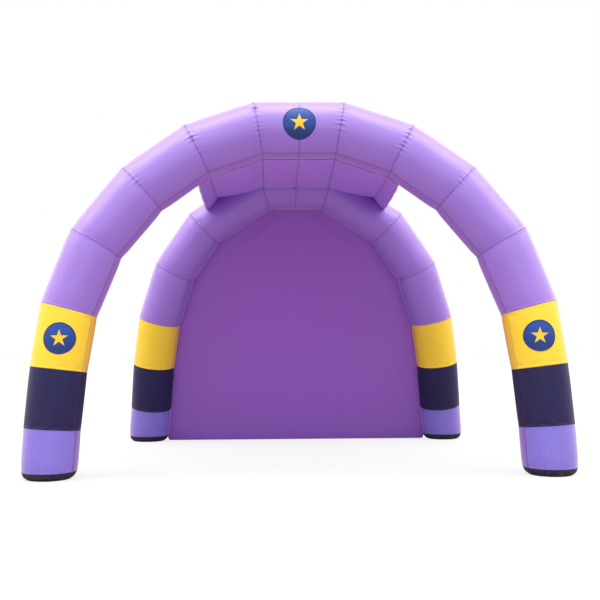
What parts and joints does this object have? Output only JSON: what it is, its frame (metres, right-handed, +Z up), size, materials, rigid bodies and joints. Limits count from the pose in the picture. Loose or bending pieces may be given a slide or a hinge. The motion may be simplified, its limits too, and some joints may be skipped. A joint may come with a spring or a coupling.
{
  "type": "inflatable arch",
  "caption": "Inflatable shelter of air-filled cloth tubes: a wide front arch and a narrower rear arch lean together under an air-filled roof, with a flat back wall.",
  "frame": {"origin": "middle of the footprint, on the ground", "axes": "+X across the doorway, -Y out of the front doorway, +Z up"},
  "size_m": [7.764, 5.4406, 5.3756],
  "materials": {
    "lilac": "semi-matt coated cloth",
    "navy": "semi-matt coated cloth",
    "yellow": "semi-matt coated cloth",
    "pad": "heavy coated tarpaulin",
    "roof": "semi-matt coated cloth",
    "wall": "matt cloth",
    "badge": "printed cloth"
  },
  "bodies": {
    "root": {"back_wall": "wall", "badge_crown": "badge", "badge_left": "badge", "badge_right": "badge", "front_left_crown": "lilac", "front_left_foot_band": "lilac", "front_left_foot_pad": "pad", "front_left_navy_band": "navy", "front_left_panel_1": "lilac", "front_left_panel_2": "lilac", "front_left_panel_3": "lilac", "front_left_panel_4": "lilac", "front_left_yellow_band": "yellow", "front_right_crown": "lilac", "front_right_foot_band": "lilac", "front_right_foot_pad": "pad", "front_right_navy_band": "navy", "front_right_panel_1": "lilac", "front_right_panel_2": "lilac", "front_right_panel_3": "lilac", "front_right_panel_4": "lilac", "front_right_yellow_band": "yellow", "rear_left_crown": "lilac", "rear_left_foot_band": "lilac", "rear_left_foot_pad": "pad", "rear_left_navy_band": "navy", "rear_left_panel_1": "lilac", "rear_left_panel_2": "lilac", "rear_left_panel_3": "lilac", "rear_left_yellow_band": "yellow", "rear_right_crown": "lilac", "rear_right_foot_band": "lilac", "rear_right_foot_pad": "pad", "rear_right_navy_band": "navy", "rear_right_panel_1": "lilac", "rear_right_panel_2": "lilac", "rear_right_panel_3": "lilac", "rear_right_yellow_band": "yellow", "roof_left_edge": "roof", "roof_left_inner": "roof", "roof_left_outer": "roof", "roof_right_edge": "roof", "roof_right_inner": "roof", "roof_right_outer": "roof"}
  },
  "joints": []
}
